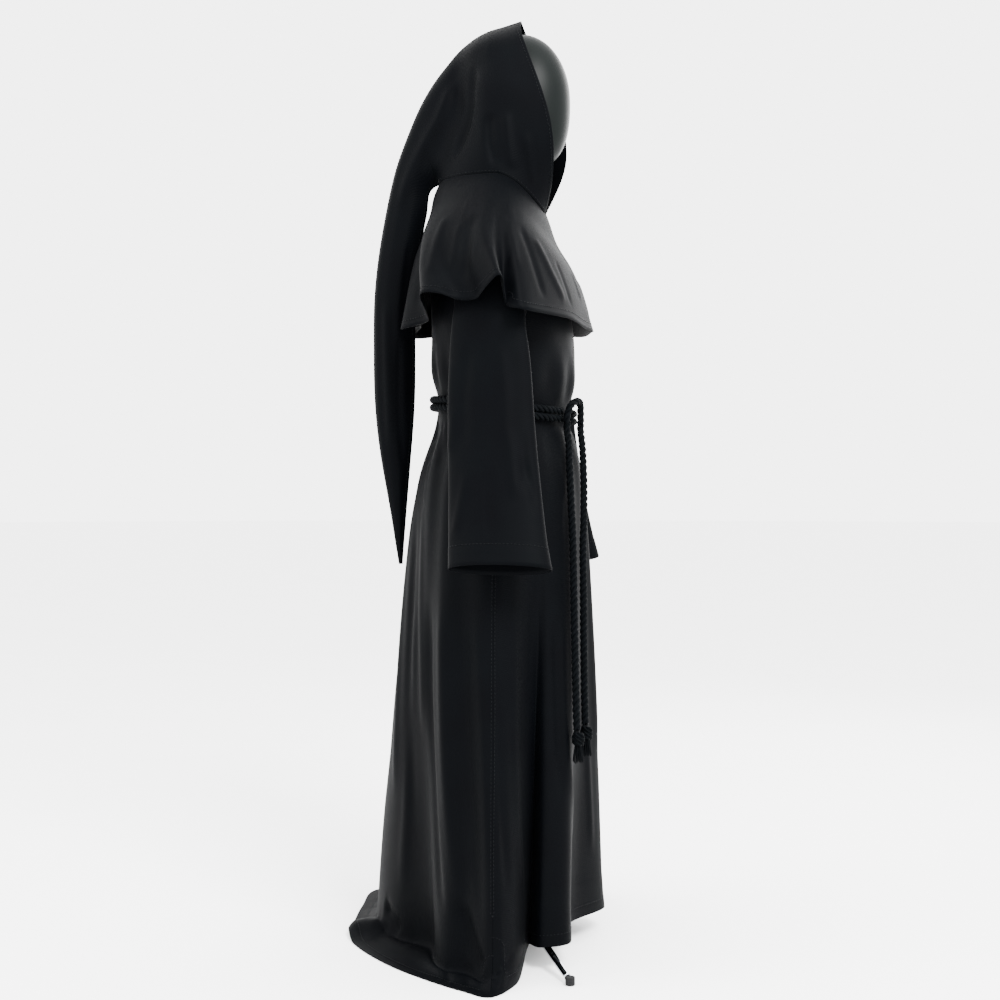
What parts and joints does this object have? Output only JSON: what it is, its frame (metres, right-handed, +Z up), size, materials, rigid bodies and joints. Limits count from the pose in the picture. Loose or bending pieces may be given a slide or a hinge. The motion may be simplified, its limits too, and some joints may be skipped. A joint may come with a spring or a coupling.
{
  "type": "monk habit on dress form",
  "caption": "Monk habit with train, wide sleeves, shoulder cape, long-tailed hood and rope belt, worn by a limbless egg-head dress form on a tripod.",
  "frame": {"origin": "on the floor under the middle of the garment's outline, measured without the belt's hanging ends", "axes": "+Z up, the wearer's front towards -Y, the wearer's right towards -X"},
  "size_m": [0.7524, 0.5572, 1.831],
  "materials": {
    "wool": "matt black wool twill with a fine weave",
    "rope": "matt black three-strand twisted rope",
    "form": "satin dark grey-green shell",
    "chrome": "polished",
    "rubber": "matt"
  },
  "bodies": {
    "root": {"robe_front": "wool", "robe_back": "wool", "cape": "wool", "sleeve_right": "wool", "sleeve_left": "wool", "hood_right": "wool", "hood_left": "wool", "belt_turn_upper": "rope", "belt_turn_lower": "rope", "belt_knot": "rope", "belt_end_right": "rope", "belt_end_left": "rope", "end_knot_right": "rope", "end_knot_left": "rope", "form_torso": "form", "form_head": "form", "stand_pole": "chrome", "stand_hub": "chrome", "stand_leg_1": "chrome", "stand_leg_2": "chrome", "stand_leg_3": "chrome", "stand_foot_1": "rubber", "stand_foot_2": "rubber", "stand_foot_3": "rubber"}
  },
  "joints": []
}
